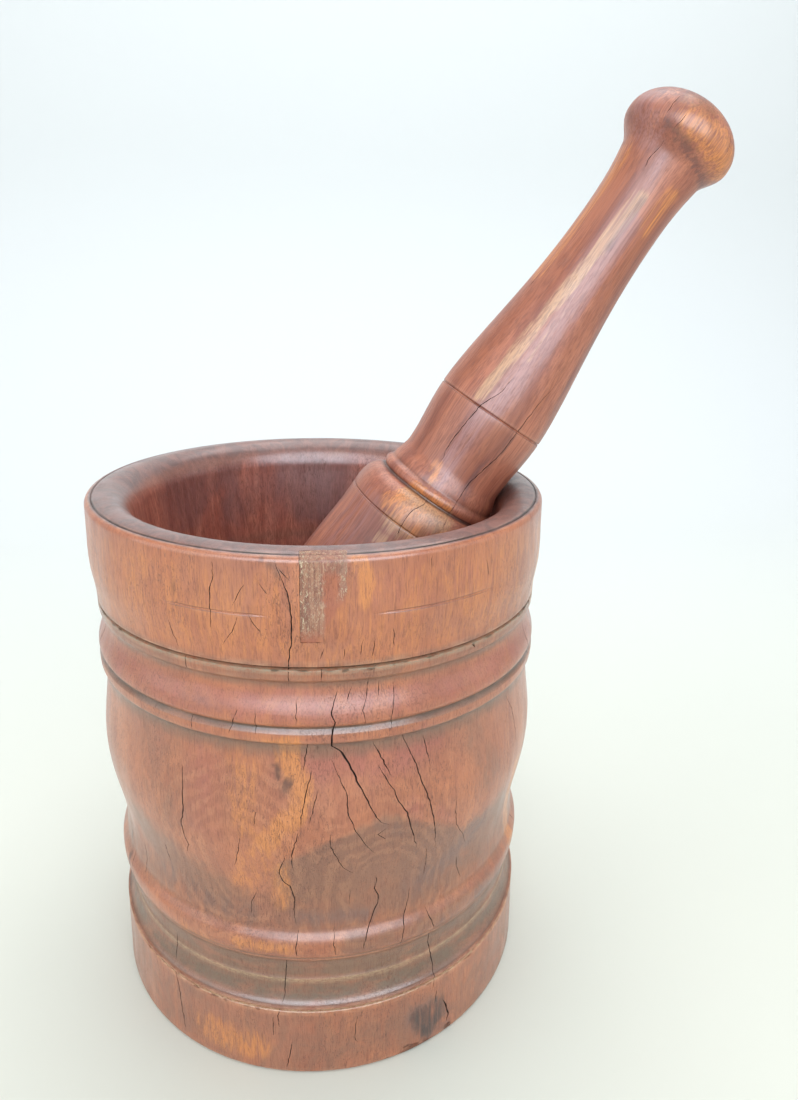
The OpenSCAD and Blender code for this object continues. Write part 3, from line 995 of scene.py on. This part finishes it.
def finish_mortar(piece, outline):
    """Smooths the mortar or its slip and stores what the wood needs to know on its vertices."""
    smooth(piece)
    radius, angle, height = vertex_places(piece)
    kept = np.where(np.abs(height - SCRIBED) < 1, scribe_left(angle), 1.0)
    bend_layers(piece, outline, radius, height, kept)
    strokes = FIGURE + stray_figure(STRAY_FIGURE, MORTAR_FIGURE_SIDES, (8, 228), 8, 12)
    figure_layers(piece, angle, height, MORTAR_GIRTH, strokes, BANDS)
    swirl = np.full(len(angle), 1e9)
    for centre, middle in SWIRLS:
        across = np.radians((angle - centre + 180) % 360 - 180) * MORTAR_GIRTH
        swirl = np.minimum(swirl, np.hypot(across, (height - middle) * 0.8))
    set_layer(piece, "swirl", swirl / SWIRL_REACH)
    rim_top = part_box("mortar")[1].z / MM
    inside = np.clip((83 - radius) / 3, 0, 1) * (height > FLOOR_HEIGHT)
    set_layer(piece, "inside", inside)
    lip = np.clip((height - rim_top + 15) / 6, 0, 1) * np.clip((97.4 - radius) / 0.8, 0, 1)
    set_layer(piece, "lip", lip * (1 - inside) * (radius > 60))
    # The fillet's pale line is a painted highlight; the grooves' lines are dust.
    dust_and_highlight = np.zeros(len(height))
    for line, strength in DUST_AND_HIGHLIGHT:
        dust_and_highlight = np.maximum(dust_and_highlight, strength * np.clip(1.3 - np.abs(height - line) / 0.7, 0, 1))
    set_layer(piece, "dust_and_highlight", dust_and_highlight * (radius > DUST_AND_HIGHLIGHT_RADIUS))


# ---------------------------------------------------------------- the pestle

def pestle_place():
    """Where the pestle's own axis lies: its tip at the origin, its knob along +Z."""
    turn = Matrix.Rotation(PESTLE_LEAN, 4, "Y")
    upright = turn.inverted()
    points = np.array([upright @ v.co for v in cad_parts["pestle"].data.vertices])
    _, members, counts = np.unique(points[:, 2].round(5), return_inverse=True, return_counts=True)
    ring = points[members == counts.argmax()]
    x, y = ring[:, 0], ring[:, 1]
    # A circle through the fullest ring: its middle is on the axis
    fitted = np.linalg.lstsq(np.stack([2 * x, 2 * y, np.ones(len(x))], 1), x**2 + y**2, rcond=None)[0]
    return turn @ Matrix.Translation((fitted[0], fitted[1], points[:, 2].min()))


def build_pestle(materials):
    """The pestle, made upright and then leant. The wood keeps its upright places as own_place."""
    place = pestle_place()
    raw = turned_outline("pestle", place, lambda p: True)
    outline = worn_outline([(0, raw[0][1])] + [p for p in raw if p[0] > 0.3] + [(0, raw[-1][1])],
                           lambda p: OUTSIDE_STEP)
    surface = Surface(outline)
    stick = revolve("pestle_turned", outline, PESTLE_SEGMENTS, PESTLE_WARP)
    give(stick, materials["pestle"])
    draw = random.Random(5)
    cut_cracks("stick_cracks", stick, surface, PESTLE_CRACKS, PESTLE_STRAYS, PESTLE_SIDES, draw)
    smooth(stick)
    radius, angle, height = vertex_places(stick)
    bend_layers(stick, outline, radius, height)
    strokes = PESTLE_FIGURE + stray_figure(STRAY_PESTLE_FIGURE, PESTLE_FIGURE_SIDES, (20, 370), 5, 9)
    figure_layers(stick, angle, height, np.maximum(radius, 8), strokes)
    own = stick.data.attributes.new("own_place", "FLOAT_VECTOR", "POINT")
    flat = np.zeros(len(stick.data.vertices) * 3, np.float32)
    stick.data.vertices.foreach_get("co", flat)
    own.data.foreach_set("vector", flat)
    stick.data.transform(place)
    return stick


# ---------------------------------------------------------------- floor, light and camera

FLOOR_SHADE = (0.69, 0.71, 0.64, 1)
WALL_SHADE = (0.71, 0.74, 0.75, 1)

# Lamps: name, place, what it faces, width, height, watts, tint
LAMPS = [
    ("overhead", (0.1, 0.35, 1.7), (0, 0, 0.1), 1.5, 1.5, 23, (0.98, 0.99, 1.0)),
    ("window", (0.15, -1.6, 0.8), (0, 0, 0.2), 1.9, 1.3, 18, (0.9, 0.96, 1.0)),
    ("left_wall", (-1.5, -0.5, 0.7), (0, 0, 0.15), 1.3, 1.3, 9, (1.0, 0.99, 0.97)),
    ("right_wall", (1.6, -0.4, 0.7), (0, 0, 0.15), 1.3, 1.3, 5, (1.0, 0.99, 0.97)),
]
# A long bright window high behind the camera, seen only as a gleam on the wax
GLEAM = ("gleam", (0.0, -1.5, 1.05), (0, 0, 0.15), 3.0, 1.3, 70, (0.72, 0.86, 1.0))
WORLD_SHADE = (0.93, 0.97, 1.0, 1)
WORLD_STRENGTH = 0.45

# The view of a phone held close and above: 26 mm lens, turned a little to the right and down
LENS = 25.92
CAMERA_PLACE = (0, -0.3455, 0.3248)
CAMERA_TURN, CAMERA_DOWN, CAMERA_ROLL = 6.04, 19.56, -1.26


def build_stage():
    """A pale floor that curves up into a wall behind."""
    body = bmesh.new()
    depth, bend, tall, half = 1.1, 0.5, 1.5, 3.0
    line = [(-2.5, 0.0), (-0.6, 0.0), (depth - bend, 0.0)]
    for k in range(1, 13):
        turn = math.radians(90 * k / 12)
        line.append((depth - bend + bend * math.sin(turn), bend - bend * math.cos(turn)))
    line.append((depth, tall))
    rows = [[body.verts.new((x, y, z)) for x in (-half, half)] for y, z in line]
    for low, high in zip(rows, rows[1:]):
        body.faces.new((low[0], low[1], high[1], high[0]))
    floor = new_object("studio_floor", body)
    floor.data.shade_smooth()
    cloth = Wood("studio_white")
    rise = cloth.span(cloth.axis("Y"), -0.1, 1.0)
    cloth.feed(cloth.shader.inputs["Base Color"], cloth.mix(rise, FLOOR_SHADE, WALL_SHADE))
    cloth.shader.inputs["Roughness"].default_value = 0.9
    cloth.shader.inputs["Specular IOR Level"].default_value = 0.1
    floor.data.materials.append(cloth.material)


def build_light():
    world = bpy.data.worlds.new("studio")
    world.use_nodes = True
    bpy.context.scene.world = world
    back = world.node_tree.nodes["Background"]
    back.inputs["Color"].default_value = WORLD_SHADE
    back.inputs["Strength"].default_value = WORLD_STRENGTH
    for name, place, aim, width, height, watts, tint in LAMPS + [GLEAM]:
        lamp = bpy.data.lights.new(name, "AREA")
        lamp.shape = "RECTANGLE"
        lamp.size = width
        lamp.size_y = height
        lamp.energy = watts
        lamp.color = tint
        made = bpy.data.objects.new(name, lamp)
        bpy.context.scene.collection.objects.link(made)
        made.location = place
        made.rotation_euler = (Vector(aim) - Vector(place)).to_track_quat("-Z", "Y").to_euler()
        made.visible_camera = False
        made.visible_diffuse = name != GLEAM[0]


def build_camera():
    lens = bpy.data.cameras.new("camera")
    lens.lens = LENS
    lens.clip_start = 0.01
    camera = bpy.data.objects.new("camera", lens)
    bpy.context.scene.collection.objects.link(camera)
    turn, down, roll = (math.radians(a) for a in (CAMERA_TURN, CAMERA_DOWN, CAMERA_ROLL))
    forward = Vector((math.sin(turn) * math.cos(down), math.cos(turn) * math.cos(down), -math.sin(down)))
    right = Vector((math.cos(turn), -math.sin(turn), 0))
    below = forward.cross(right)
    x_axis = right * math.cos(roll) + below * math.sin(roll)
    y_axis = right * math.sin(roll) - below * math.cos(roll)
    facing = Matrix((x_axis, y_axis, -forward)).transposed().to_4x4()
    camera.matrix_world = Matrix.Translation(CAMERA_PLACE) @ facing
    bpy.context.scene.camera = camera


# ---------------------------------------------------------------- assembly

bpy.context.scene.view_settings.view_transform = "Standard"
build_camera()
build_stage()
build_light()

crack = crack_wood()
woods = {
    "mortar": [mortar_wood("waxed_mortar_wood"), crack, raw_wood()],
    "patch": [mortar_wood("mended_rim_wood", slip=True), crack],
    "pestle": [pestle_wood(), crack],
}
mortar, repair, mortar_line = build_mortar(woods)
finish_mortar(mortar, mortar_line)
finish_mortar(repair, mortar_line)
pestle = build_pestle(woods)

for piece, node, body, slot in ((mortar, "mortar", "mortar", "mortar_wood"),
                                (repair, "rim_patch", "mortar", "patch_wood"),
                                (pestle, "pestle", "pestle", "pestle_wood")):
    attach(piece, body)
    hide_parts(node)
